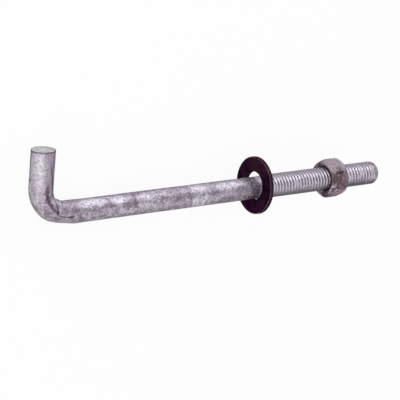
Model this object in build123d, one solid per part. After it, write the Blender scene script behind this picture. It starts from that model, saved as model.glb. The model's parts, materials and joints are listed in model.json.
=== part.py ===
from build123d import *

import math
import os

# A half inch hook bolt (J bolt) with its flat washer and its hex nut, in millimetres and degrees.
#
# Each piece is made in the bolt's own frame: X runs along the rod from the hook to the threaded
# end, Y runs along the hook's leg, and Z is square to both. The origin is where the centre lines
# of the rod and the leg cross. lay_down() then turns and drops the pieces together, the way that
# they come to rest on a floor: on the bend of the hook and on the washer's rim.

INCH = 25.4

# Hook: the bar's full size, bent through a right angle and sheared off
hook_diameter = 12.2
leg_reach = 34.5  # from the rod's centre line to the leg's tip
bend_radius = 14.4  # of the bar's centre line
bend_flattening = 0.7  # how much thinner the bar is at the middle of the bend
leg_tip_slant_angle = 4.5  # how far the shear cut the tip out of square
leg_tip_edge_break = 0.3

# Shank: drawn down to the size that the thread is rolled on
shank_diameter = 11.8
shank_taper_length = 12.0
inside_length = 8 * INCH  # from the inside of the leg to the threaded end

# Thread, 1/2-13 UNC: a groove round the rod for each turn of the real helix
thread_diameter = INCH / 2
thread_pitch = INCH / 13
thread_length = 3 * INCH
point_length = 3.6
point_diameter = 8.3

# Flat washer, loose on the shank just before the thread
washer_diameter = 30.8
washer_thickness = 1.9
washer_bore_clearance = 1.1  # all round the thread
washer_edge_break = 0.3  # where the punch went in, on the hook's side
washer_station = 128.3  # from the leg's centre line to the washer's middle
washer_touch_gap = 0.15  # left where the bore rests against the shank
washer_swing_angle = -3.0  # about Z
washer_lean_angle = 1.4  # about Y

# Hex nut, chamfered on both faces
nut_across_flats = 0.75 * INCH
nut_thickness = 0.4375 * INCH
nut_face_diameter = 18.2
nut_chamfer_angle = 30.0
nut_running_clearance = 0.05  # all round the thread
nut_countersink_width = 0.6
nut_station = 178.9  # from the leg's centre line to the nut's middle
nut_turn_angle = -11.0  # of a corner, from the leg's direction

# Rest: the leg's tip stands a little off the floor, because most weight is on the rod's side
rest_roll_angle = 3.4

# Places that follow from the sizes
hook_radius = hook_diameter / 2
shank_radius = shank_diameter / 2
thread_radius = thread_diameter / 2
thread_depth = 17 / 24 * math.sqrt(3) / 2 * thread_pitch  # 17/24 of a sharp 60 degree thread's height
thread_crest_width = thread_pitch / 8
point_radius = point_diameter / 2
rod_end = inside_length + hook_radius
thread_start = rod_end - thread_length
runout_start = thread_start - thread_pitch
washer_bore_radius = thread_radius + washer_bore_clearance
washer_offset = washer_bore_radius - shank_radius - washer_touch_gap
nut_bore_radius = thread_radius + nut_running_clearance


def thread_outline():
    """(x, radius) down each groove and up again, cut down near the rod's end by the cone of the point."""
    points = []
    for number in range(math.ceil(thread_length / thread_pitch) - 1):
        groove = thread_start + (number + 0.5) * thread_pitch
        half_width = (thread_pitch - thread_crest_width) / 2
        points += [
            (groove - half_width, thread_radius),
            (groove, thread_radius - thread_depth),
            (groove + half_width, thread_radius),
        ]
    slope = (thread_radius - point_radius) / point_length
    return [(x, min(radius, point_radius + (rod_end - x) * slope)) for x, radius in points]


def straight_rod():
    """The shank and the thread, turned about X, with the taper, the run-out and the point."""
    outline = Polyline(
        (bend_radius, 0),
        (bend_radius, hook_radius),
        (bend_radius + shank_taper_length, shank_radius),
        (runout_start, shank_radius),
        (thread_start, thread_radius),
        *thread_outline(),
        (rod_end, point_radius),
        (rod_end, 0),
        close=True,
    )
    return revolve(make_face(outline), Axis.X)


def bar_section(bend_line, share):
    """The bar's section at a share of the way round the bend, squeezed most at the middle."""
    squeeze = bend_flattening / 2 * math.sin(math.pi * share) ** 2
    plane = Plane(origin=bend_line @ share, x_dir=(0, 0, 1), z_dir=bend_line % share)
    return plane * Ellipse(hook_radius, hook_radius - squeeze)


def hook():
    """The flattened bend and the leg, whose tip is sheared off a little aslant."""
    bend_line = CenterArc((bend_radius, bend_radius), bend_radius, 270, -90)
    sections = [bar_section(bend_line, share) for share in (0, 0.25, 0.5, 0.75, 1)]
    bend = sweep(sections, path=bend_line, multisection=True)
    leg_start = Plane(origin=(0, bend_radius, 0), z_dir=(0, 1, 0))
    leg = extrude(leg_start * Circle(hook_radius), leg_reach + hook_radius - bend_radius)
    shear = Plane((0, leg_reach, 0), z_dir=(0, 1, 0)).rotated((-leg_tip_slant_angle, 0, 0))
    leg = split(leg, shear, keep=Keep.BOTTOM)
    tip_edge = leg.edges().sort_by(Axis.Y)[-1]
    return bend + chamfer(tip_edge, leg_tip_edge_break)


def flat_washer():
    """The punched disc, resting against the shank on the side away from the leg."""
    ring = Circle(washer_diameter / 2) - Circle(washer_bore_radius)
    disc = extrude(Plane.YZ * ring, washer_thickness / 2, both=True)
    punched_side = disc.edges().filter_by(GeomType.CIRCLE).group_by(Axis.X)[0]
    disc = chamfer(punched_side, washer_edge_break)
    return Location((washer_station, washer_offset, 0), (0, washer_lean_angle, washer_swing_angle)) * disc


def nut_blank():
    """The hexagon with both faces chamfered to a circle."""
    flats = nut_across_flats / 2
    corners = flats / math.cos(math.radians(30))
    drop = (corners - nut_face_diameter / 2) * math.tan(math.radians(nut_chamfer_angle))
    half = nut_thickness / 2
    prism = extrude(Plane.YZ * RegularPolygon(corners, 6), half, both=True)
    outline = Polyline(
        (-half, 0),
        (-half, nut_face_diameter / 2),
        (drop - half, corners),
        (half - drop, corners),
        (half, nut_face_diameter / 2),
        (half, 0),
        close=True,
    )
    return prism & revolve(make_face(outline), Axis.X)


def hex_nut():
    """The nut, with a plain bore that runs on the thread and a countersink at each face."""
    mouth = nut_bore_radius + nut_countersink_width
    half = nut_thickness / 2
    outline = Polyline(
        (-half, 0),
        (-half, mouth),
        (nut_countersink_width - half, nut_bore_radius),
        (half - nut_countersink_width, nut_bore_radius),
        (half, mouth),
        (half, 0),
        close=True,
    )
    nut = nut_blank() - revolve(make_face(outline), Axis.X)
    return Location((nut_station, 0, 0), (nut_turn_angle, 0, 0)) * nut


def lowest(shape):
    return shape.bounding_box().min.Z


def rest_slope(rod, washer):
    """How far the rod rises from the hook to the thread when the washer's rim holds it up."""
    low, high = 0.0, 30.0
    for _ in range(20):
        slope = (low + high) / 2
        lean = turned(slope)
        if lowest(lean * washer) < lowest(lean * rod):
            low = slope
        else:
            high = slope
    return slope


def turned(slope):
    return Rot(0, -slope, 0) * Rot(rest_roll_angle, 0, 0)


def lay_down(pieces):
    """Where the bolt's own frame lies when the pieces rest, centred over the origin."""
    lean = turned(rest_slope(pieces["bent_rod"], pieces["flat_washer"]))
    box = Compound([lean * piece for piece in pieces.values()]).bounding_box()
    middle = box.center()
    return Pos(-middle.X, -middle.Y, -box.min.Z) * lean


pieces = {
    "bent_rod": straight_rod() + hook(),
    "flat_washer": flat_washer(),
    "hex_nut": hex_nut(),
}
rest = lay_down(pieces)

os.makedirs("parts", exist_ok=True)
for name, piece in pieces.items():
    export_step(rest * piece, f"parts/{name}.step")
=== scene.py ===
# A half inch hook bolt (J bolt) with its flat washer and its hex nut, in metres: the galvanised bar
# with its rolled thread, the black punched washer and the rough galvanised nut, on a plain stage.
#
# Every piece is made in the bolt's own frame, which stands where the CAD model's joints and mounts
# say: X runs along the rod from the hook to the threaded end, Y runs along the hook's leg, and Z is
# square to both. The origin is where the centre lines of the rod and the leg cross.

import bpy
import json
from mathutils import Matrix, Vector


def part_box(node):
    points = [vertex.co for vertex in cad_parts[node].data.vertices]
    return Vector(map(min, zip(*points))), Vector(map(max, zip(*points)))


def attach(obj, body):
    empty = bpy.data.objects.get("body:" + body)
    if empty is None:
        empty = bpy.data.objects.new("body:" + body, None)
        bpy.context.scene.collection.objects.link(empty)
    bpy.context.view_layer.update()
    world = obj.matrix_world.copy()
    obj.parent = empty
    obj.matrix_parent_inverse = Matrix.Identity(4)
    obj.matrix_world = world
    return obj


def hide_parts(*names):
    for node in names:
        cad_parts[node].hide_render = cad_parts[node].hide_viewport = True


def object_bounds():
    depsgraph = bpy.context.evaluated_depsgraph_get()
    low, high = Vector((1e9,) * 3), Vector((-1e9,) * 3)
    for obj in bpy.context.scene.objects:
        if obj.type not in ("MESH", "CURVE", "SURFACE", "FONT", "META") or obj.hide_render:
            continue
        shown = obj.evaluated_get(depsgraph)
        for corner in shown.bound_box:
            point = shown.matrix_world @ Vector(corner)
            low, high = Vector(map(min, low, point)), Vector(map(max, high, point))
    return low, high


bl_info = {
    "name": "Hook Bolt",
    "version": (1, 0, 0),
    "blender": (4, 5, 0),
    "location": "View3D > Sidebar > Hook Bolt",
    "description": "Builds a galvanised hook bolt with its washer and nut around the CAD frame",
    "category": "Add Mesh",
}

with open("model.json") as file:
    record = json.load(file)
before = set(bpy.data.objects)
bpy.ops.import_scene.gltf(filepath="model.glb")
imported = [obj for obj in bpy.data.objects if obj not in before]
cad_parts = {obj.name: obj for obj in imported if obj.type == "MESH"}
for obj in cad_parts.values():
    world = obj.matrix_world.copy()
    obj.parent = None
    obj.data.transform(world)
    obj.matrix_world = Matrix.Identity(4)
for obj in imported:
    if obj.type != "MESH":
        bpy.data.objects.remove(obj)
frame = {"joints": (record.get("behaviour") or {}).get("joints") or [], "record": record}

import json
import math

import bmesh
import bpy
from bpy.props import FloatProperty, FloatVectorProperty, PointerProperty
from mathutils import Matrix, Vector, noise

MM = 0.001


# What the CAD model says


def mount(name):
    """The record's mount of that name."""
    return next(m for m in frame["record"]["mounts"] if m["name"] == name)


def bolt_frame():
    """The bolt's own frame, from the rod's joint and the mounts on the leg and the threaded end."""
    along = Vector(frame["joints"][0]["axis"]).normalized()
    leg = Vector(mount("hook_leg")["axis"]).normalized()
    end = Vector(mount("threaded_end")["pos_m"])
    on_leg = Vector(mount("hook_leg")["pos_m"])
    corner = on_leg - leg * (on_leg - end).dot(leg)
    turn = Matrix((along, leg, along.cross(leg))).transposed().to_4x4()
    return Matrix.Translation(corner) @ turn


def middle(node):
    """The middle of a CAD node's box."""
    low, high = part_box(node)
    return (low + high) / 2


CAD_LOW, CAD_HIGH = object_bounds()
BOLT = bolt_frame()
TO_BOLT = BOLT.inverted()
ROD_END = (TO_BOLT @ Vector(mount("threaded_end")["pos_m"])).x
NUT_MIDDLE = (TO_BOLT @ middle("hex_nut")).x
WASHER_MIDDLE = TO_BOLT @ middle("flat_washer")
WASHER_AXIS = TO_BOLT.to_3x3() @ -Vector(mount("washer_face")["axis"])


# Sizes and colours that a user may change


def length(name, default, description):
    """A property in metres."""
    return FloatProperty(
        name=name,
        description=description,
        default=default,
        min=0.0,
        precision=5,
        subtype="DISTANCE",
        unit="LENGTH",
    )


def angle(name, degrees, description):
    """A property whose default is in degrees."""
    return FloatProperty(
        name=name,
        description=description,
        default=math.radians(degrees),
        subtype="ANGLE",
        unit="ROTATION",
    )


def fraction(name, default, description):
    """A property from 0 to 1."""
    return FloatProperty(
        name=name,
        description=description,
        default=default,
        min=0.0,
        max=1.0,
        subtype="FACTOR",
    )


def swatch(name, default, description):
    """A property that holds a linear colour."""
    return FloatVectorProperty(
        name=name,
        description=description,
        default=default,
        min=0.0,
        max=1.0,
        size=3,
        subtype="COLOR",
    )


class RodSizes(bpy.types.PropertyGroup):
    """The bent and threaded bar."""

    hook_diameter: length(
        "Hook diameter", 2 * MM * mount("hook_leg")["dims"]["r_mm"], "The bar in the bend and the leg"
    )
    leg_reach: length("Leg reach", 34.5 * MM, "From the rod's centre line to the leg's tip")
    bend_radius: length("Bend radius", 14.4 * MM, "Of the bar's centre line in the hook's bend")
    bend_flattening: length("Bend flattening", 0.7 * MM, "How much thinner the bar is in the bend")
    tip_rounding: length("Tip rounding", 0.3 * MM, "The edge of the sheared tip")
    tip_slant: angle("Tip slant", 4.5, "How far the shear cut the leg's tip out of square")
    taper_length: length("Taper length", 12.0 * MM, "From the hook's size to the shank's")
    shank_diameter: length("Shank diameter", 11.8 * MM, "The bar that the thread is rolled on")
    thread_diameter: length(
        "Thread diameter", 2 * MM * mount("threaded_end")["dims"]["r_mm"], "Over the thread's crests"
    )
    thread_length: length(
        "Thread length", MM * mount("threaded_end")["dims"]["length_mm"], "Of full thread"
    )
    thread_pitch: length("Thread pitch", 25.4 / 13 * MM, "From one crest to the next")
    point_length: length("Point length", 3.6 * MM, "The chamfer at the threaded end")
    point_softening: length("Point softening", 0.5 * MM, "How much the zinc rounds the point's edge")
    point_diameter: length("Point diameter", 8.3 * MM, "The flat at the threaded end")
    unevenness: length("Unevenness", 0.06 * MM, "How far the zinc coat stands out or in")
    clogging: fraction("Clogging", 0.5, "How much of the thread's groove the zinc fills in places")
    side_clogging: fraction("Side clogging", 0.45, "How much it fills on the leg's side and away from it")
    end_clogging: fraction("End clogging", 0.75, "How much it fills at the threaded end")
    fold_place: length("Fold place", 0.0, "Where the fold inside the bend starts, along the bar")
    fold_slant: length("Fold slant", 0.075 * MM, "How far the fold runs along for each degree round")
    fold_depth: length("Fold depth", 0.55 * MM, "Of the valley of the fold")
    fold_height: length("Fold height", 0.35 * MM, "Of the ridge beside the fold")
    seam_depth: length("Seam depth", 0.2 * MM, "Of the seam up the leg's inner side")
    dent_place: length("Dent place", 12.0 * MM, "Where the bend's outer side is dented, along the bar")
    dent_depth: length("Dent depth", 1.0 * MM, "Of that dent")


class WasherSizes(bpy.types.PropertyGroup):
    """The punched flat washer."""

    diameter: length("Diameter", 30.8 * MM, "Over the rim")
    bore_diameter: length("Bore diameter", 14.9 * MM, "Of the hole")
    thickness: length("Thickness", 1.9 * MM, "Of the sheet")
    rolled_edge: length("Rolled edge", 0.35 * MM, "Rounding where the punch went in")
    broken_edge: length("Broken edge", 0.15 * MM, "Rounding where the punch came out")
    waviness: length("Waviness", 0.05 * MM, "How far the sheet is from flat")


class NutSizes(bpy.types.PropertyGroup):
    """The hexagon nut."""

    across_flats: length("Across flats", 19.05 * MM, "From one flat to the opposite one")
    thickness: length("Thickness", 11.1125 * MM, "From face to face")
    face_diameter: length("Face diameter", 18.2 * MM, "Of the flat ring inside the chamfer")
    chamfer_angle: angle("Chamfer angle", 30, "Between the chamfer and the face")
    corner_rounding: length("Corner rounding", 1.5 * MM, "Radius of the six upright edges")
    edge_rounding: length("Edge rounding", 1.6 * MM, "Of the edges between chamfers and flats")
    thread_clearance: length("Thread clearance", 0.45 * MM, "All round the rod's thread")
    bore_diameter: length("Bore diameter", 10.6 * MM, "Inside the nut's own crests")
    mouth_diameter: length("Mouth diameter", 17.0 * MM, "Of the countersink at each face")
    mouth_angle: angle("Mouth angle", 42, "Between the countersink and the face")
    turn: angle("Turn", -11.0, "Of a corner from the leg's direction")


class Finishes(bpy.types.PropertyGroup):
    """The colours of the three surfaces."""

    # Pale coat, and also painted highlight on the thread's crests and along the rod's highlight band
    frost: swatch("Frosted zinc", (0.815, 0.778, 0.888), "The pale crystals of the coat")
    zinc: swatch("Plain zinc", (0.589, 0.538, 0.618), "The coat between the frosted patches")
    mauve: swatch("Mauve zinc", (0.413, 0.338, 0.425), "The darker mottling")
    grey: swatch("Grey zinc", (0.53, 0.523, 0.555), "The smoother coat on the leg")
    # Painted shade: the darker, greyer coat on the side away from the leg
    shaded_zinc: swatch("Dull zinc", (0.394, 0.358, 0.378), "The greyer coat on the hook's outer side")
    cut_face: swatch("Cut face", (0.9, 0.9, 0.9), "The coat on the sheared tip")
    # Dark marks along the bend, and painted shade in the fold's valley
    scorch: swatch("Scorch", (0.09, 0.04, 0.065), "The marks of bending")
    # Grime and dark pits, and also painted shade in the thread's roots, along its sides and in the seam
    # up the leg
    grime: swatch("Grime", (0.14, 0.108, 0.136), "In the roots of the thread")
    # Pale coat, and also painted light on the nut's top
    nut_pale: swatch("Pale nut", (0.432, 0.358, 0.418), "Where the nut's coat is clean")
    nut_brown: swatch("Brown nut", (0.196, 0.132, 0.150), "Where it is stained")
    nut_pink: swatch("Pink nut", (0.345, 0.216, 0.265), "Where the stain is thin")
    # Painted shade on the nut's bottom and near face; also a dark line along one corner
    nut_dark: swatch("Dark nut", (0.068, 0.04, 0.051), "Where the stain is thick")
    # Painted shade in the nut's countersink round the thread
    gap: swatch("Gap", (0.06, 0.036, 0.055), "The nut's countersink, where the thread keeps dirt")
    black: swatch("Black finish", (0.02, 0.006, 0.018), "The washer's finish")
    black_plum: swatch("Plum finish", (0.041, 0.019, 0.035), "Where that finish is thinner")
    # Rubbed specks, and also a painted highlight near the washer's rim
    black_worn_and_highlight: swatch("Worn finish", (0.147, 0.113, 0.147), "Its rubbed edges")
    rim: swatch("Washer's rim", (0.045, 0.021, 0.029), "The punched edge of the sheet")


class StageSettings(bpy.types.PropertyGroup):
    """The camera, the floor and the surround."""

    turn: angle("Turn", -34.5, "Of the camera round the leg's direction")
    tilt: angle("Tilt", -20.44, "Of the camera towards the leg's tip")
    roll: angle("Roll", 5.9, "Of the camera about its own axis")
    pan: length("Pan", 78.7 * MM, "Sideways from the corner of the hook")
    rise: length("Rise", 7.8 * MM, "Upwards from the corner of the hook")
    distance: length("Distance", 762 * MM, "From the camera to the corner of the hook")
    lens: FloatProperty(
        name="Lens",
        description="Focal length on a 36 mm sensor",
        default=140.2,
        min=1.0,
        subtype="DISTANCE_CAMERA",
        unit="CAMERA",
    )
    floor: swatch("Floor", (0.95, 0.95, 0.95), "The plain pale floor")
    camera_share: fraction("Camera share", 0.92, "How far the floor is plain white to the camera")
    mirror_share: fraction("Mirror share", 0.25, "How far the floor is plain white in reflections")
    surround: swatch("Surround", (0.82, 0.82, 0.82), "The walls and the ceiling round the stage")
    ceiling: swatch("Dark ceiling", (0.31, 0.31, 0.31), "The ceiling over the threaded end")
    wall: swatch("Dark wall", (0.48, 0.48, 0.48), "The wall that the hook's back faces")


# Materials

THREAD_START = ROD_END - MM * mount("threaded_end")["dims"]["length_mm"]

# The colour of each finish's edge reflections
ZINC_TINT = (0.35, 0.32, 0.36)
BLACK_TINT = (0.3, 0.15, 0.3)
NUT_TINT = (0.55, 0.50, 0.56)

# The seam up the leg's inner side
SEAM_ANGLE = math.radians(24)  # round the bar from the leg's side, at the hook's corner
SEAM_TWIST = math.radians(2.26) / MM  # how far it winds round the bar as it runs up the leg
SEAM_FOOT = (0.0, -2 * MM)  # where it begins and where it is full, along the bar
SEAM_HEAD = (-24 * MM, -18 * MM)  # where it ends and up to where it is full


def new_material(name):
    """An empty material made of nodes."""
    material = bpy.data.materials.new(name)
    material.use_nodes = True
    return material


class Shading:
    """A node tree built one call at a time. A value may be a number, a tuple or a socket."""

    def __init__(self, tree):
        self.tree = tree
        self.tree.nodes.clear()

    def node(self, kind, values=(), **settings):
        made = self.tree.nodes.new(kind)
        for name, setting in settings.items():
            setattr(made, name, setting)
        for name, value in dict(values).items():
            self.set(made.inputs[name], value)
        return made

    def set(self, socket, value):
        if isinstance(value, bpy.types.NodeSocket):
            self.tree.links.new(value, socket)
        else:
            socket.default_value = value

    def maths(self, operation, first, second=0.0):
        return self.node("ShaderNodeMath", {0: first, 1: second}, operation=operation).outputs[0]

    def product(self, first, *others):
        for other in others:
            first = self.maths("MULTIPLY", first, other)
        return first

    def vector_maths(self, operation, first, second, output="Vector"):
        made = self.node("ShaderNodeVectorMath", {0: first, 1: second}, operation=operation)
        return made.outputs[output]

    def between(self, value, low, high):
        """0 up to low, 1 from high, and a smooth step between. High may be the lower number."""
        values = {"Value": value, "From Min": low, "From Max": high}
        return self.node("ShaderNodeMapRange", values, interpolation_type="SMOOTHSTEP").outputs[0]

    def scaled(self, value, low, high):
        """A value from 0 to 1 brought to the range from low to high."""
        values = {"Value": value, "To Min": low, "To Max": high}
        return self.node("ShaderNodeMapRange", values).outputs[0]

    def mixed(self, factor, first, second, blend="MIX"):
        """Two colours mixed, which the node takes at inputs 6 and 7 and gives at output 2."""
        made = self.node("ShaderNodeMix", data_type="RGBA", blend_type=blend)
        self.set(made.inputs[0], factor)
        for index, part in ((6, first), (7, second)):
            self.set(made.inputs[index], part if isinstance(part, bpy.types.NodeSocket) else (*part, 1.0))
        return made.outputs[2]

    def close(self, shader, output="ShaderNodeOutputMaterial"):
        """Ends the tree with this shader."""
        self.tree.links.new(shader.outputs[0], self.node(output).inputs[0])


class BarShading(Shading):
    """Shading that follows a piece's own place round the bar's axis, from the mesh's attribute "bar"."""

    def __init__(self, tree):
        super().__init__(tree)
        self.place = self.node("ShaderNodeAttribute", attribute_name="bar").outputs["Vector"]
        self.along, self.across, self.up = self.node("ShaderNodeSeparateXYZ", {0: self.place}).outputs
        squares = [self.maths("POWER", part, 2.0) for part in (self.across, self.up)]
        self.radius = self.maths("SQRT", self.maths("ADD", *squares))
        self.turn = self.maths("ARCTAN2", self.up, self.across)

    def grain(self, size, detail=3.0, roughness=0.55, distortion=0.0, stretch=1.0):
        """Noise from 0 to 1 with lumps of about that size in metres, stretched along the bar."""
        values = {
            "Vector": self.vector_maths("MULTIPLY", self.place, (1 / stretch, 1.0, 1.0)),
            "Scale": 1 / size,
            "Detail": detail,
            "Roughness": roughness,
            "Distortion": distortion,
        }
        return self.node("ShaderNodeTexNoise", values).outputs["Fac"]

    def stain(self, stain, ragged, start):
        """1 inside a soft-edged spot and 0 outside it, with an edge as ragged as that pattern."""
        turn = math.radians(stain["angle"])
        radius = stain["radius"] * MM
        centre = (start + stain["along"] * MM, radius * math.cos(turn), radius * math.sin(turn))
        size = tuple(stain[side] * MM for side in ("length", "width", "width"))
        offset = self.vector_maths("SUBTRACT", self.place, centre)
        shares = self.vector_maths("DIVIDE", offset, size)
        reach = self.node("ShaderNodeVectorMath", {0: shares}, operation="LENGTH").outputs["Value"]
        reach = self.maths("ADD", reach, self.scaled(ragged, -1.0, 1.0))
        return self.product(self.between(reach, 1.1, 0.6), stain["strength"])

    def stained(self, colour, stains, ragged, finishes, start=0.0):
        """The colour with each stain's finish over it."""
        for stain in stains:
            spot = self.stain(stain, ragged, start)
            colour = self.mixed(spot, colour, getattr(finishes, stain["finish"]))
        return colour

    def finish(self, colour, metallic, tint, roughness, height, depth, strength=1.0):
        """Ends the tree with a Principled shader, with bumps of that depth."""
        bumps = {"Height": height, "Distance": depth, "Strength": strength}
        values = {
            "Base Color": colour,
            "Metallic": metallic,
            "Specular Tint": (*tint, 1.0),
            "Roughness": roughness,
            "Normal": self.node("ShaderNodeBump", bumps).outputs[0],
        }
        self.close(self.node("ShaderNodeBsdfPrincipled", values))


def stain_list(radius, *rows):
    """Stains at that distance from the bar's axis, in millimetres and degrees. Each row has a finish, a
    place along the bar, an angle round it from the leg's side, a length, a width and a strength."""
    names = ("finish", "along", "angle", "length", "width", "strength")
    return [{"radius": radius, **dict(zip(names, row))} for row in rows]


ROD_STAINS = stain_list(
    6.0,
    ("zinc", -19, 120, 9, 5.0, 0.8),
    ("grey", -21, 145, 9, 4.5, 0.8),
    ("mauve", -15, 86, 8, 1.8, 0.6),
    # Painted shade: dark spots along the bend
    ("scorch", -8, 88, 4.5, 1.2, 0.7),
    ("scorch", -3, 86, 3.5, 1.6, 0.85),
    ("scorch", 2.5, 84, 3.5, 1.3, 0.8),
    ("scorch", 6.5, 84, 1.2, 1.5, 1.0),
    ("scorch", 10, 93, 2.2, 0.8, 0.7),
    ("scorch", 14, 92, 2.5, 1.0, 0.8),
    ("mauve", 2, 110, 9, 3.0, 0.6),
    ("frost", 0, 55, 2.2, 1.3, 0.8),
    ("frost", 7.4, 52, 0.6, 3.6, 0.9),
    ("grime", 20, 112, 0.9, 4.5, 0.5),
    # Pale rows at 35 to 38 degrees run along the key lamp's highlight: pale coat and painted highlight
    ("frost", 28, 38, 9, 4.0, 0.7),
    ("mauve", 31, 92, 12, 4.0, 0.5),
    ("mauve", 36, 46, 2.5, 2.5, 0.9),
    ("frost", 43, 36, 5, 3.5, 0.8),
    ("mauve", 48, 66, 7, 3.0, 0.9),
    ("frost", 61, 35, 9, 3.5, 0.5),
    ("mauve", 77, 60, 12, 9.0, 0.65),
    ("frost", 91, 70, 6.5, 12.0, 0.6),
    ("frost", 107, 35, 9, 4.0, 0.6),
    ("grime", 51.5, 60, 0.5, 9.0, 0.35),
    ("frost", 86.5, 60, 0.7, 12.0, 0.7),
    ("grime", 84.5, 80, 0.9, 7.0, 0.3),
    ("mauve", 140, 118, 8, 5.0, 0.7),
    ("mauve", 193, 100, 9, 9.0, 0.6),
    ("grime", 196, 135, 11, 6.0, 0.75),
    ("mauve", 205, 60, 8, 12.0, 0.7),
)
# Painted sheen: the washer lighter towards its top, in the rim's browner colour
WASHER_SHEEN = stain_list(
    12.0,
    ("rim", 0, 0, 4, 9.0, 0.8),
)
# The pale row on the top is painted light; the darkest rows on the bottom and the near face are painted
# shade
NUT_STAINS = stain_list(
    10.0,
    ("nut_pale", -2.5, 8, 5.0, 6.0, 0.9),
    ("nut_brown", 0, 85, 7, 6.0, 0.8),
    ("nut_dark", -1.0, 55, 4.5, 1.4, 0.85),
    ("nut_dark", -4, 110, 2.0, 1.5, 0.6),
    ("nut_dark", -5.5, 150, 2.0, 4.0, 0.9),
    ("nut_dark", 0, 170, 7, 4.0, 0.8),
    ("nut_pink", 2, 125, 4, 3.0, 0.7),
    ("nut_dark", -5.2, -32, 1.6, 3.0, 0.6),
    ("frost", 3.2, -8, 0.9, 0.9, 0.9),
    ("frost", -3.6, 46, 1.0, 0.5, 0.8),
    ("frost", 2.5, 114, 1.3, 1.3, 0.5),
    ("nut_pink", -2.5, 122, 3.0, 2.5, 0.7),
    ("frost", -3.5, 118, 0.5, 0.5, 0.7),
    ("frost", -1.5, 128, 0.5, 0.5, 0.7),
)


def zinc_ground(shading, mottle, finishes):
    """Plain and mauve patches, with painted shade on the side away from the leg: a darker, greyer coat
    there.
    """
    patches = shading.grain(12 * MM, detail=2.0, stretch=2.0)
    colour = shading.mixed(shading.between(patches, 0.36, 0.60), finishes.mauve, finishes.zinc)
    # Painted shade: a darker, greyer coat on the side away from the leg, from the bend on
    ragged = shading.maths("ADD", shading.across, shading.scaled(mottle, -2 * MM, 2 * MM))
    shaded_zinc = shading.between(ragged, -1.5 * MM, -5.5 * MM)
    off_leg = shading.between(shading.along, -14 * MM, 0.0)
    return shading.mixed(shading.product(shaded_zinc, off_leg, 0.8), colour, finishes.shaded_zinc)


def zinc_grain(shading, colour, tone, finishes):
    """Rough grain and dark pits, both fainter on the leg."""
    contrast = shading.scaled(shading.between(shading.along, -12 * MM, 0.0), 0.6, 1.0)
    grain = shading.scaled(shading.between(tone, 0.36, 0.64), 0.55, 1.4)
    colour = shading.mixed(contrast, colour, grain, "MULTIPLY")
    pits = shading.grain(1.5 * MM, detail=2.0, roughness=0.6, stretch=1 / 1.6)
    pitted = shading.product(shading.between(pits, 0.60, 0.70), contrast, 0.8)
    return shading.mixed(pitted, colour, finishes.grime)


def bend_colour(shading, colour, sizes, finishes):
    """Painted shade in the seam's groove up the leg and in the fold's valley inside the bend."""
    # Painted shade in the seam's groove up the leg
    seam = shading.maths("ADD", shading.product(shading.along, SEAM_TWIST), shading.turn)
    from_seam = shading.maths("ABSOLUTE", shading.maths("SUBTRACT", seam, SEAM_ANGLE))
    on_leg = shading.product(
        shading.between(shading.along, *SEAM_FOOT), shading.between(shading.along, *SEAM_HEAD)
    )
    seam_shade = shading.product(shading.between(from_seam, 0.13, 0.05), on_leg, 0.75)
    colour = shading.mixed(seam_shade, colour, finishes.grime)
    # Painted shade in the fold's valley inside the bend
    slanted = shading.product(shading.turn, math.degrees(sizes.fold_slant))
    unslanted = shading.maths("SUBTRACT", shading.along, slanted)
    offset = shading.maths("SUBTRACT", unslanted, sizes.fold_place)
    fold_valley_shade = shading.between(shading.maths("ABSOLUTE", offset), 1.0 * MM, 0.3 * MM)
    inside = shading.between(shading.turn, math.radians(95), math.radians(75))
    return shading.mixed(shading.product(fold_valley_shade, inside, 0.8), colour, finishes.scorch)


def tip_rim_colour(shading, colour, sizes, finishes):
    """A dark line round the bar just behind the sheared tip."""
    tip = leg_tip(sizes)
    bar = sizes.hook_diameter / 2
    line = shading.between(shading.along, tip + 1.1 * MM, tip + 0.5 * MM)
    outside = shading.between(shading.radius, bar - 0.4 * MM, bar - 0.2 * MM)
    return shading.mixed(shading.product(line, outside, 0.8), colour, finishes.grime)


def thread_colour(shading, colour, mottle, grooved, sizes, finishes):
    """Painted highlight on the thread's crests and painted shade in its roots, both fainter on the side
    away from the leg.
    """
    crest = sizes.thread_diameter / 2
    away = shading.between(shading.across, 2.5 * MM, -2.0 * MM)
    # Painted highlight: pale coat on the crests, fainter on the side away from the leg
    on_crest = shading.between(shading.radius, crest - 0.35 * MM, crest - 0.10 * MM)
    crests = shading.product(on_crest, grooved, shading.scaled(away, 1.0, 0.4))
    # Painted shade in the roots, fainter on the side away from the leg and along the leg's side
    in_root = shading.between(shading.radius, crest - 0.23 * MM, crest - 0.49 * MM)
    uneven = shading.scaled(shading.between(mottle, 0.40, 0.60), 0.35, 1.0)
    sides = shading.maths("MAXIMUM", away, shading.between(shading.across, 4.5 * MM, 5.8 * MM))
    roots = shading.product(in_root, grooved, uneven, shading.scaled(sides, 1.0, 0.45))
    blotches = shading.scaled(shading.between(mottle, 0.38, 0.62), 1.15, 0.62)
    colour = shading.mixed(shading.product(away, grooved), colour, blotches, "MULTIPLY")
    colour = shading.mixed(shading.product(grooved, 0.10), colour, finishes.frost)
    colour = shading.mixed(shading.product(crests, 0.6), colour, finishes.frost)
    return shading.mixed(shading.product(roots, 0.85), colour, finishes.grime)


def thread_painted_shade(shading, colour, threaded, finishes):
    """Painted shade along the thread: on its side away from the leg, and a little on the leg's side."""
    # Painted shade: darker on the thread's side away from the leg, and a little along the leg's side
    under = shading.between(shading.across, 0.0, -5.5 * MM)
    under = shading.product(under, threaded, shading.between(shading.up, -1.0 * MM, 2.5 * MM))
    over = shading.between(shading.across, 4.5 * MM, 6.0 * MM)
    over = shading.product(over, threaded, shading.between(shading.up, -3.5 * MM, 0.5 * MM))
    painted_shade = shading.maths("ADD", shading.product(under, 0.85), shading.product(over, 0.45))
    return shading.mixed(painted_shade, colour, finishes.grime)


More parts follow.
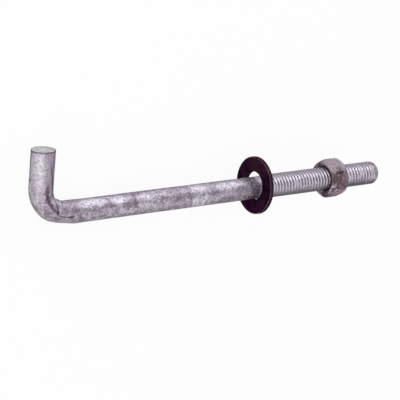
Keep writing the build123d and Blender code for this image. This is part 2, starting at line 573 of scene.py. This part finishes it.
def zinc_coat(finishes, sizes):
    """The rod's hot-dip zinc: patches, stains, rough grain, dark pits, painted shade in the bend and away
    from the leg, and painted highlight and shade on the thread.
    """
    material = new_material("rod zinc")
    shading = BarShading(material.node_tree)
    mottle = shading.grain(3.0 * MM, detail=3.0, roughness=0.6)
    fine = shading.grain(1.0 * MM, detail=2.0, roughness=0.7)
    tone = shading.maths("ADD", shading.product(mottle, 0.4), shading.product(fine, 0.6))
    threaded = shading.between(shading.along, THREAD_START, THREAD_START + 2.5 * MM)
    unfilled = shading.between(shading.along, ROD_END - 3.0 * MM, ROD_END - 6.0 * MM)
    grooved = shading.product(threaded, unfilled)
    colour = zinc_ground(shading, mottle, finishes)
    colour = shading.stained(colour, ROD_STAINS, mottle, finishes)
    cut = shading.between(shading.along, leg_tip(sizes) + 0.15 * MM, leg_tip(sizes))
    colour = shading.mixed(cut, colour, finishes.cut_face)
    colour = zinc_grain(shading, colour, tone, finishes)
    colour = bend_colour(shading, colour, sizes, finishes)
    colour = tip_rim_colour(shading, colour, sizes, finishes)
    colour = thread_colour(shading, colour, mottle, grooved, sizes, finishes)
    colour = thread_painted_shade(shading, colour, threaded, finishes)
    rough = shading.product(shading.scaled(tone, 0.15, 0.50), shading.scaled(grooved, 1.0, 0.75))
    height = shading.maths("ADD", mottle, shading.product(fine, 0.8))
    shading.finish(colour, 0.9, ZINC_TINT, rough, height, depth=0.30 * MM)
    return material


def black_coat(finishes, sizes):
    """The washer's black finish, with a faint painted sheen at the top, a browner rim, a painted
    highlight near the rim and rubbed specks.
    """
    material = new_material("washer black")
    shading = BarShading(material.node_tree)
    rim = sizes.diameter / 2
    blotches = shading.grain(5 * MM, detail=4.0, roughness=0.6)
    fine = shading.grain(0.7 * MM, detail=3.0, roughness=0.6)
    colour = shading.mixed(shading.between(blotches, 0.35, 0.65), finishes.black, finishes.black_plum)
    colour = shading.stained(colour, WASHER_SHEEN, fine, finishes)
    on_rim = shading.between(shading.radius, rim - 0.30 * MM, rim - 0.05 * MM)
    colour = shading.mixed(on_rim, colour, finishes.rim)
    # A painted highlight near the rim, and rubbed specks over the washer
    edge = shading.product(
        shading.between(shading.radius, rim - 0.70 * MM, rim - 0.40 * MM),
        shading.between(shading.radius, rim - 0.02 * MM, rim - 0.10 * MM),
        shading.between(fine, 0.35, 0.6),
    )
    worn_and_highlight = shading.maths("MAXIMUM", edge, shading.between(fine, 0.64, 0.80))
    colour = shading.mixed(worn_and_highlight, colour, finishes.black_worn_and_highlight)
    rough = shading.scaled(blotches, 0.30, 0.50)
    shading.finish(colour, 1.0, BLACK_TINT, rough, fine, depth=0.05 * MM, strength=0.6)
    return material


def nut_coat(finishes, rod):
    """The nut's rough, stained zinc, smoother on the leg's side, with painted light on its top, painted
    shade on its bottom and near face, and painted shade where it meets the thread.
    """
    material = new_material("nut zinc")
    shading = BarShading(material.node_tree)
    crest = rod.thread_diameter / 2
    blotches = shading.grain(6 * MM, detail=4.0, roughness=0.65, distortion=0.4)
    mottle = shading.grain(1.4 * MM, detail=3.0, roughness=0.7)
    fine = shading.grain(0.8 * MM, detail=2.0)
    colour = shading.mixed(shading.between(blotches, 0.35, 0.60), finishes.nut_brown, finishes.nut_pale)
    colour = shading.stained(colour, NUT_STAINS, mottle, finishes, NUT_MIDDLE)
    contrast = shading.scaled(shading.between(shading.across, 8 * MM, 4 * MM), 0.5, 1.0)
    grain = shading.scaled(shading.between(mottle, 0.36, 0.64), 0.5, 1.4)
    colour = shading.mixed(contrast, colour, grain, "MULTIPLY")
    colour = shading.mixed(shading.between(fine, 0.66, 0.74), colour, finishes.frost)
    # Painted shade in the countersink round the thread
    countersink_shade = shading.between(shading.radius, crest + 0.85 * MM, crest + 0.35 * MM)
    colour = shading.mixed(countersink_shade, colour, finishes.gap)
    rough = shading.scaled(mottle, 0.40, 0.65)
    height = shading.maths("ADD", mottle, shading.product(fine, 0.4))
    shading.finish(colour, 0.8, NUT_TINT, rough, height, depth=0.3 * MM)
    return material


def floor_paint(settings):
    """A plain pale floor that looks white to the camera, paler in reflections, and takes a shadow."""
    material = new_material("floor paint")
    shading = Shading(material.node_tree)
    path = shading.node("ShaderNodeLightPath")
    rays = [path.outputs[name] for name in ("Is Glossy Ray", "Is Transmission Ray")]
    mirrored = shading.maths("MAXIMUM", *rays)
    to_camera = shading.product(path.outputs["Is Camera Ray"], settings.camera_share)
    seen = shading.maths("MAXIMUM", shading.product(mirrored, settings.mirror_share), to_camera)
    matt = shading.node("ShaderNodeBsdfDiffuse", {"Color": (*settings.floor, 1.0)})
    glow = shading.node("ShaderNodeEmission", {"Color": (1.0, 1.0, 1.0, 1.0), "Strength": 1.0})
    both = shading.node("ShaderNodeMixShader", {0: seen, 1: matt.outputs[0], 2: glow.outputs[0]})
    shading.close(both)
    return material


# Meshes


def round_axis(along, radius, turn):
    """The point at that place along X, at that distance from it and turned from Y towards Z."""
    return Vector((along, radius * math.cos(turn), radius * math.sin(turn)))


def lay_rows(bm, rows, place):
    """A skin over rows of (along, radius, angle) points, put in place by place() in the bolt's frame."""
    straight = bm.verts.layers.float_vector["bar"]
    lines = []
    for row in rows:
        line = []
        for along, radius, turn in row:
            point = round_axis(along, radius, turn)
            vertex = bm.verts.new(BOLT @ place(point))
            vertex[straight] = point
            line.append(vertex)
        lines.append(line)
    for low, high in zip(lines, lines[1:]):
        for k in range(len(low) - 1):
            bm.faces.new((low[k], low[k + 1], high[k + 1], high[k]))


SHARP_ANGLE = math.radians(40)  # from which an edge stays sharp
SAME_POINT = 0.002 * MM  # how close two points are when they are one
SHORTEST_EDGE = 0.001 * MM


def new_mesh(name, rows, place):
    """A closed mesh from rows whose ends, seams and doubled points meet."""
    bm = bmesh.new()
    bm.verts.layers.float_vector.new("bar")
    lay_rows(bm, rows, place)
    bmesh.ops.remove_doubles(bm, verts=bm.verts, dist=SAME_POINT)
    bmesh.ops.dissolve_degenerate(bm, edges=bm.edges, dist=SHORTEST_EDGE)
    mesh = bpy.data.meshes.new(name)
    bm.to_mesh(mesh)
    bm.free()
    mesh.shade_smooth()
    mesh.set_sharp_from_angle(angle=SHARP_ANGLE)
    return mesh


def add_piece(mesh, material, body, node):
    """The mesh as a piece that rides on a body, stands for a CAD node and has a finish slot."""
    piece = bpy.data.objects.new(mesh.name, mesh)
    bpy.context.scene.collection.objects.link(piece)
    mesh.materials.append(material)
    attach(piece, body)
    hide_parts(node)


def even_angles(count):
    """Angles once round, with the first one repeated at the end."""
    return [math.tau * k / count for k in range(count + 1)]


def ring(along, radius, angles):
    """A level row at that radius."""
    return [(along, radius, turn) for turn in angles]


def rounded_edge(start, corner, end, steps=4):
    """(along, radius) points on the curve from start to end that rounds the corner between them."""
    points = []
    for k in range(steps + 1):
        share = k / steps
        weights = ((1 - share) ** 2, 2 * share * (1 - share), share**2)
        points.append(
            tuple(sum(w * p[axis] for w, p in zip(weights, (start, corner, end))) for axis in (0, 1))
        )
    return points


# The thread as the zinc leaves it, shallower and rounder than it was rolled, in pitches
CREST_FLAT = 0.16
THREAD_DEPTH = 0.27
FLANK_SLOPE = math.tan(math.radians(38))
CREST_ROUNDING = 0.05
ROOT_ROUNDING = 0.05


def thread_profile():
    """(share of a pitch from a crest, depth below the crest in pitches) points over one pitch."""
    crest = CREST_FLAT / 2
    root = crest + THREAD_DEPTH / FLANK_SLOPE
    half = [
        (crest - CREST_ROUNDING, 0.0),
        (crest + CREST_ROUNDING, CREST_ROUNDING * FLANK_SLOPE),
        (root - ROOT_ROUNDING, THREAD_DEPTH - ROOT_ROUNDING * FLANK_SLOPE),
        (root + ROOT_ROUNDING, THREAD_DEPTH),
    ]
    return half + [(1 - share, depth) for share, depth in reversed(half)]


def thread_rows(start, end, pitch, angles, radius_at):
    """Rows that follow the thread's helix from start to end, where they close up into a ring."""
    rows = []
    for number in range(math.floor(start / pitch) - 2, math.ceil(end / pitch) + 2):
        for share, depth in thread_profile():
            row = []
            for turn in angles:
                along = (number + share + turn / math.tau) * pitch
                along = min(max(along, start), end)
                row.append((along, radius_at(along, depth * pitch, turn), turn))
            rows.append(row)
    return rows


def smooth_step(value, low, high):
    share = min(max((value - low) / (high - low), 0.0), 1.0)
    return share * share * (3 - 2 * share)


# The rod

ROD_COLUMNS = 96
ROW_STEP = 0.8 * MM
BEND_ROW_STEP = 0.4 * MM
BEND_ROWS = (-8 * MM, 18 * MM)  # the part of the bar that has the closer rows
SMOOTH_AT_TIP = 1.5 * MM  # over which the coat's lumps grow
SMOOTH_BEFORE_THREAD = 4 * MM  # over which they fade

# The marks of bending, with angles in degrees round the bar from the leg's side
FOLD_MIDDLE = 15
FOLD_REACH = 85
FOLD_VALLEY_WIDTH = 1.3 * MM
FOLD_RIDGE_PLACE = 6.5 * MM
FOLD_RIDGE_WIDTH = 3.6 * MM
SEAM_REACH = 0.14  # radians
DENT_LENGTH = 8.0 * MM
DENT_MIDDLE = 158
DENT_REACH = 70

# How the zinc lies in the thread and on its point
CLOG_SIZE = 3.5 * MM  # of the clogged patches
CLOGGED_END = (8 * MM, 3 * MM)  # from the end: where the clogging starts and where it is full
RUNOUT_PITCHES = 2.5  # over which the thread grows out of the shank
POINT_CURVE = 0.6  # how fast the point's curve leaves the flat at the end


def leg_tip(sizes):
    """The leg's tip on the straight bar: the bend and the leg unrolled behind the rod's corner."""
    radius = sizes.bend_radius
    return 2 * radius - sizes.leg_reach - radius * math.pi / 2


def sheared(point, sizes):
    """Where a point of the straight bar goes when the leg's tip is cut aslant."""
    slant = 1 - smooth_step(point.x - leg_tip(sizes), 0, sizes.hook_diameter)
    return point - Vector((point.z * math.tan(sizes.tip_slant) * slant, 0, 0))


def bent(point, sizes):
    """Where a point of the straight bar goes when the hook is bent, which flattens it a little."""
    radius = sizes.bend_radius
    behind = radius - point.x
    if behind <= 0:
        return point
    turn = min(behind / radius, math.pi / 2)
    inward = Vector((math.sin(turn), math.cos(turn), 0))
    past_bend = Vector((0, max(behind - radius * math.pi / 2, 0), 0))
    middle_line = Vector((radius, radius, 0)) - inward * radius + past_bend
    squeezed = 1 - math.sin(2 * turn) ** 2 * sizes.bend_flattening / sizes.hook_diameter
    return middle_line + inward * point.y * squeezed + Vector((0, 0, point.z))


def bar_radius(along, sizes):
    """The plain bar's radius: the hook's, a taper, and the shank's."""
    start = sizes.bend_radius
    share = smooth_step(along, start, start + sizes.taper_length)
    return (sizes.hook_diameter * (1 - share) + sizes.shank_diameter * share) / 2


def unevenness(along, turn, radius, amount):
    """The zinc coat's lumps and runs."""
    point = round_axis(along, radius, turn)
    broad = noise.noise(point / (9 * MM))
    fine = noise.noise(point / (2.2 * MM) + Vector((7, 0, 0)))
    return amount * (0.6 * broad + 0.4 * fine)


def bump_shape(offset, reach):
    """1 at no offset, falling smoothly to 0 at the reach and beyond."""
    return 1 - smooth_step(abs(offset), 0, reach)


def fold_height(along, degrees, sizes):
    """The fold inside the bend: a slanting valley and a ridge beside it."""
    inside = bump_shape(degrees - FOLD_MIDDLE, FOLD_REACH) ** 0.5
    valley = bump_shape(along - sizes.fold_place - degrees * sizes.fold_slant, FOLD_VALLEY_WIDTH)
    ridge = bump_shape(along - sizes.fold_place - FOLD_RIDGE_PLACE, FOLD_RIDGE_WIDTH)
    return inside * (ridge * sizes.fold_height - valley * sizes.fold_depth)


def seam_height(along, turn, sizes):
    """The groove up the leg's inner side."""
    foot, full_foot = SEAM_FOOT
    on_leg = smooth_step(-along, -foot, -full_foot) * smooth_step(along, *SEAM_HEAD)
    in_seam = bump_shape(turn + along * SEAM_TWIST - SEAM_ANGLE, SEAM_REACH)
    return -sizes.seam_depth * on_leg * in_seam


def dent_height(along, degrees, sizes):
    """The dent where the bend's outer side meets the rod."""
    lengthways = bump_shape(along - sizes.dent_place, DENT_LENGTH)
    return -sizes.dent_depth * lengthways * bump_shape(degrees - DENT_MIDDLE, DENT_REACH)


def bend_marks(along, turn, sizes):
    """How far the marks of bending stand out."""
    degrees = math.degrees(turn)
    from_leg = degrees - 360 if degrees > 180 else degrees
    dent = dent_height(along, degrees, sizes)
    return fold_height(along, from_leg, sizes) + seam_height(along, turn, sizes) + dent


def bar_stations(start, end):
    """Where the bar's rings stand, closer together in the bend."""
    stations = [start]
    while stations[-1] < end:
        step = BEND_ROW_STEP if BEND_ROWS[0] < stations[-1] < BEND_ROWS[1] else ROW_STEP
        stations.append(stations[-1] + step)
    return stations[:-1] + [end]


def plain_bar_rows(start, end, sizes, angles):
    """Rings of the bar between its sheared tip and its thread."""
    rows = []
    for along in bar_stations(start, end):
        radius = bar_radius(along, sizes)
        held = smooth_step(along - start, 0, SMOOTH_AT_TIP)
        held *= smooth_step(end - along, 0, SMOOTH_BEFORE_THREAD)
        row = []
        for turn in angles:
            lumps = unevenness(along, turn, radius, sizes.unevenness) * held
            row.append((along, radius + lumps + bend_marks(along, turn, sizes), turn))
        rows.append(row)
    return rows


def sheared_tip_rows(sizes, angles):
    """The flat face and the rounded edge of the leg's tip."""
    tip = leg_tip(sizes)
    radius = sizes.hook_diameter / 2
    soft = sizes.tip_rounding
    rows = [ring(tip, radius * share, angles) for share in (0.0, 0.35, 0.7)]
    edge = rounded_edge((tip, radius - soft), (tip, radius), (tip + soft, radius))
    return rows + [ring(along, across, angles) for along, across in edge]


def rod_thread_rows(start, sizes, angles):
    """The thread, from its run-out on the shank to the point at its end."""
    crest = sizes.thread_diameter / 2
    shank = sizes.shank_diameter / 2
    tip = sizes.point_diameter / 2 - sizes.point_softening

    def clogged_at(along, turn):
        patches = noise.noise(round_axis(along, crest, turn) / CLOG_SIZE)
        in_places = sizes.clogging * smooth_step(patches, -0.1, 0.4)
        away = smooth_step(-math.cos(turn), -0.3, 0.5)
        at_side = sizes.side_clogging * max(away, smooth_step(math.cos(turn), 0.75, 0.95))
        starting, full = CLOGGED_END
        at_end = sizes.end_clogging * smooth_step(along, ROD_END - starting, ROD_END - full)
        return max(in_places, at_side, at_end)

    def radius_at(along, depth, turn):
        grown = smooth_step(along, start, start + RUNOUT_PITCHES * sizes.thread_pitch)
        threaded = shank + (crest - depth * (1 - clogged_at(along, turn)) - shank) * grown
        from_end = min((ROD_END - along) / sizes.point_length, 1)
        return min(threaded, tip + (crest - tip) * (1 - (1 - from_end) ** 2) ** POINT_CURVE)

    return thread_rows(start, ROD_END, sizes.thread_pitch, angles, radius_at)


class HOOKBOLT_OT_rod(bpy.types.Operator):
    """Build the rod: the sheared leg, the bend, the shank and the rolled thread"""

    bl_idname = "hook_bolt.rod"
    bl_label = "Build Rod"

    def execute(self, context):
        sizes = context.scene.hook_bolt_rod
        angles = even_angles(ROD_COLUMNS)
        runout_start = ROD_END - sizes.thread_length - sizes.thread_pitch
        rows = sheared_tip_rows(sizes, angles)
        rows += plain_bar_rows(leg_tip(sizes) + sizes.tip_rounding, runout_start, sizes, angles)
        rows += rod_thread_rows(runout_start, sizes, angles)
        rows += [ring(ROD_END, sizes.point_diameter / 2 * share, angles) for share in (0.8, 0.4, 0.0)]

        def place(point):
            return bent(sheared(point, sizes), sizes)

        mesh = new_mesh("threaded_hook", rows, place)
        coat = zinc_coat(context.scene.hook_bolt_finishes, sizes)
        add_piece(mesh, coat, "rod", "bent_rod")
        return {"FINISHED"}


# The washer

WASHER_COLUMNS = 128


def washer_outline(sizes):
    """(along, radius) points round the washer's section, from the bore over the hook's side and back."""
    half = sizes.thickness / 2
    bore = sizes.bore_diameter / 2
    rim = sizes.diameter / 2
    roll = sizes.rolled_edge
    sharp = sizes.broken_edge
    outline = rounded_edge((roll - half, bore), (-half, bore), (-half, bore + roll))
    outline += [(-half, bore + (rim - bore) * share) for share in (0.25, 0.5, 0.75)]
    outline += rounded_edge((-half, rim - roll), (-half, rim), (roll - half, rim))
    outline += rounded_edge((half - sharp, rim), (half, rim), (half, rim - sharp))
    outline += [(half, bore + (rim - bore) * share) for share in (0.75, 0.5, 0.25)]
    outline += rounded_edge((half, bore + sharp), (half, bore), (half - sharp, bore))
    return outline + outline[:1]


class HOOKBOLT_OT_washer(bpy.types.Operator):
    """Build the black washer, leaning as it hangs on the shank"""

    bl_idname = "hook_bolt.washer"
    bl_label = "Build Washer"

    def execute(self, context):
        sizes = context.scene.hook_bolt_washer
        angles = even_angles(WASHER_COLUMNS)
        rows = [ring(along, radius, angles) for along, radius in washer_outline(sizes)]
        lean = Vector((1, 0, 0)).rotation_difference(WASHER_AXIS).to_matrix().to_4x4()
        stand = Matrix.Translation(WASHER_MIDDLE) @ lean

        def place(point):
            wave = sizes.waviness * noise.noise(point / (12 * MM))
            return stand @ (point + Vector((wave, 0, 0)))

        mesh = new_mesh("punched_washer", rows, place)
        coat = black_coat(context.scene.hook_bolt_finishes, sizes)
        add_piece(mesh, coat, "washer", "flat_washer")
        return {"FINISHED"}


# The nut

SIDES = 6
SIDE_ANGLE = math.tau / SIDES

# Where the columns stand on each side, as shares of the way from one corner to the next
SIDE_SHARES = (0.0, 0.03, 0.06, 0.1, 0.16, 0.24, 0.32, 0.41, 0.5, 0.59, 0.68, 0.76, 0.84, 0.9, 0.94, 0.97)


def nut_angles(sizes):
    """Angles once round, closer together at the six corners, with the first one repeated at the end."""
    places = [number + share for number in range(SIDES) for share in SIDE_SHARES]
    return [sizes.turn + SIDE_ANGLE * place for place in (*places, SIDES)]


def hexagon_radius(turn, sizes):
    """The hexagon's radius in a direction, with its corners rounded."""
    half_side = SIDE_ANGLE / 2
    flat = sizes.across_flats / 2
    from_corner = (turn - sizes.turn + half_side) % SIDE_ANGLE - half_side
    straight = flat / math.cos(half_side - abs(from_corner))
    soft = sizes.corner_rounding
    centre = (flat - soft) / math.cos(half_side)
    offset = centre * math.sin(from_corner)
    if abs(offset) >= soft:
        return straight
    return min(straight, centre * math.cos(from_corner) + math.sqrt(soft**2 - offset**2))


def nut_side(turn, sizes):
    """(along, radius) points from the face's ring over the chamfer and down to the nut's middle."""
    half = sizes.thickness / 2
    face = sizes.face_diameter / 2
    outer = hexagon_radius(turn, sizes)
    slope = math.tan(sizes.chamfer_angle)
    edge = (half - (outer - face) * slope, outer)
    soft = min(sizes.edge_rounding, (outer - face) * 0.9)
    on_chamfer = (edge[0] + soft * slope, outer - soft)
    on_flat = (edge[0] - soft, outer)
    return [(half, face), *rounded_edge(on_chamfer, edge, on_flat), (half * 0.3, outer), (0.0, outer)]


def nut_outer_rows(sizes, angles):
    """Rows from the mouth on the hook's side, out over the chamfer, along the sides and back in."""
    half = sizes.thickness / 2
    mouth = sizes.mouth_diameter / 2
    face = sizes.face_diameter / 2
    columns = [nut_side(turn, sizes) for turn in angles]
    side = [[(x, r, turn) for (x, r), turn in zip(row, angles)] for row in zip(*columns)]
    face_rings = [ring(half, mouth + (face - mouth) * share, angles) for share in (0.0, 0.5)]
    near = [*face_rings, *side]
    far = [[(-along, radius, turn) for along, radius, turn in row] for row in near]
    return far + near[::-1]


def nut_bore_rows(sizes, rod, angles):
    """The nut's thread, which runs in the rod's, with a countersink at each face."""
    half = sizes.thickness / 2
    crest = rod.thread_diameter / 2

    def radius_at(along, depth, _turn):
        threaded = max(crest - depth + sizes.thread_clearance, sizes.bore_diameter / 2)
        from_face = half - abs(along - NUT_MIDDLE)
        return max(threaded, sizes.mouth_diameter / 2 - from_face / math.tan(sizes.mouth_angle))

    rows = thread_rows(NUT_MIDDLE - half, NUT_MIDDLE + half, rod.thread_pitch, angles, radius_at)
    return rows[::-1]


class HOOKBOLT_OT_nut(bpy.types.Operator):
    """Build the hexagon nut on the rod's thread"""

    bl_idname = "hook_bolt.nut"
    bl_label = "Build Nut"

    def execute(self, context):
        sizes = context.scene.hook_bolt_nut
        rod = context.scene.hook_bolt_rod
        angles = nut_angles(sizes)
        outer = nut_outer_rows(sizes, angles)
        rows = [[(NUT_MIDDLE + along, radius, turn) for along, radius, turn in row] for row in outer]
        rows += nut_bore_rows(sizes, rod, angles)
        mesh = new_mesh("chamfered_nut", rows, lambda point: point)
        coat = nut_coat(context.scene.hook_bolt_finishes, rod)
        add_piece(mesh, coat, "nut", "hex_nut")
        return {"FINISHED"}


# The stage

FLOOR_SIZE = 8.0

# Towards the two darker parts of the surround
DARK_CEILING = (0.53, 0.33, 0.78)
DARK_WALL = (0.3, -0.95, 0.1)

# Each softbox: its name, the way towards it, its width in metres and its power in watts
LAMP_DISTANCE = 1.2
SOFTBOXES = (
    ("key", (0.52, 0.83, 0.20), 0.5, 0.72),
    ("window", (-0.38, 0.86, 0.34), 0.8, 3.4),
    ("side", (-0.74, -0.36, 0.57), 1.1, 2.6),
)


def add_floor(settings):
    """A wide pale floor under the bolt."""
    bpy.ops.mesh.primitive_plane_add(size=FLOOR_SIZE, location=(0, 0, 0))
    floor = bpy.context.object
    floor.name = "floor"
    floor.data.materials.append(floor_paint(settings))


def add_softbox(name, direction, size, power):
    """A square lamp that faces the bolt's middle."""
    lamp = bpy.data.lights.new(name, "AREA")
    lamp.shape = "SQUARE"
    lamp.size = size
    lamp.energy = power
    direction = Vector(direction).normalized()
    softbox = bpy.data.objects.new(name, lamp)
    bpy.context.scene.collection.objects.link(softbox)
    softbox.location = (CAD_LOW + CAD_HIGH) / 2 + direction * LAMP_DISTANCE
    softbox.rotation_mode = "QUATERNION"
    softbox.rotation_quaternion = direction.to_track_quat("Z", "Y")


def add_camera(settings):
    """A camera that looks down on the bolt, turned, tilted and rolled about the bolt's frame."""
    data = bpy.data.cameras.new("camera")
    data.lens = settings.lens
    data.sensor_width = 36.0
    camera = bpy.data.objects.new("camera", data)
    bpy.context.scene.collection.objects.link(camera)
    camera.matrix_world = (
        BOLT
        @ Matrix.Rotation(settings.turn, 4, "Y")
        @ Matrix.Rotation(settings.tilt, 4, "X")
        @ Matrix.Rotation(settings.roll, 4, "Z")
        @ Matrix.Translation((settings.pan, settings.rise, settings.distance))
    )
    bpy.context.scene.camera = camera


def add_world(settings):
    """A pale surround with a darker part of the ceiling and a darker wall, and white to the camera."""
    world = bpy.data.worlds.new("surround")
    world.use_nodes = True
    bpy.context.scene.world = world
    shading = Shading(world.node_tree)
    direction = shading.node("ShaderNodeTexCoord").outputs["Generated"]
    to_ceiling = shading.vector_maths("DOT_PRODUCT", direction, DARK_CEILING, "Value")
    to_wall = shading.vector_maths("DOT_PRODUCT", direction, DARK_WALL, "Value")
    colour = shading.mixed(shading.between(to_ceiling, 0.88, 0.99), settings.surround, settings.ceiling)
    colour = shading.mixed(shading.between(to_wall, 0.75, 1.0), colour, settings.wall)
    seen = shading.node("ShaderNodeLightPath").outputs["Is Camera Ray"]
    colour = shading.mixed(seen, colour, (1.0, 1.0, 1.0))
    background = shading.node("ShaderNodeBackground", {"Color": colour, "Strength": 1.0})
    shading.close(background, "ShaderNodeOutputWorld")


class HOOKBOLT_OT_stage(bpy.types.Operator):
    """Build the floor, the lamps and the camera"""

    bl_idname = "hook_bolt.stage"
    bl_label = "Build Stage"

    def execute(self, context):
        settings = context.scene.hook_bolt_stage
        add_floor(settings)
        add_world(settings)
        for softbox in SOFTBOXES:
            add_softbox(*softbox)
        add_camera(settings)
        context.scene.view_settings.view_transform = "Standard"
        return {"FINISHED"}


class HOOKBOLT_PT_panel(bpy.types.Panel):
    """The bolt's sizes, finishes and build buttons"""

    bl_idname = "HOOKBOLT_PT_panel"
    bl_label = "Hook Bolt"
    bl_space_type = "VIEW_3D"
    bl_region_type = "UI"
    bl_category = "Hook Bolt"

    def draw(self, context):
        for name, group in SETTINGS.items():
            box = self.layout.box()
            box.label(text=group.__doc__)
            settings = getattr(context.scene, name)
            for key in group.__annotations__:
                box.prop(settings, key)
        for operator in OPERATORS:
            self.layout.operator(operator.bl_idname)


SETTINGS = {
    "hook_bolt_rod": RodSizes,
    "hook_bolt_washer": WasherSizes,
    "hook_bolt_nut": NutSizes,
    "hook_bolt_finishes": Finishes,
    "hook_bolt_stage": StageSettings,
}
OPERATORS = (HOOKBOLT_OT_rod, HOOKBOLT_OT_washer, HOOKBOLT_OT_nut, HOOKBOLT_OT_stage)


def register():
    for name, group in SETTINGS.items():
        bpy.utils.register_class(group)
        setattr(bpy.types.Scene, name, PointerProperty(type=group))
    for cls in (*OPERATORS, HOOKBOLT_PT_panel):
        bpy.utils.register_class(cls)


def unregister():
    for cls in (HOOKBOLT_PT_panel, *reversed(OPERATORS)):
        bpy.utils.unregister_class(cls)
    for name, group in reversed(SETTINGS.items()):
        delattr(bpy.types.Scene, name)
        bpy.utils.unregister_class(group)


def main():
    register()
    bpy.ops.hook_bolt.rod()
    bpy.ops.hook_bolt.washer()
    bpy.ops.hook_bolt.nut()
    bpy.ops.hook_bolt.stage()


if __name__ == "__main__":
    main()
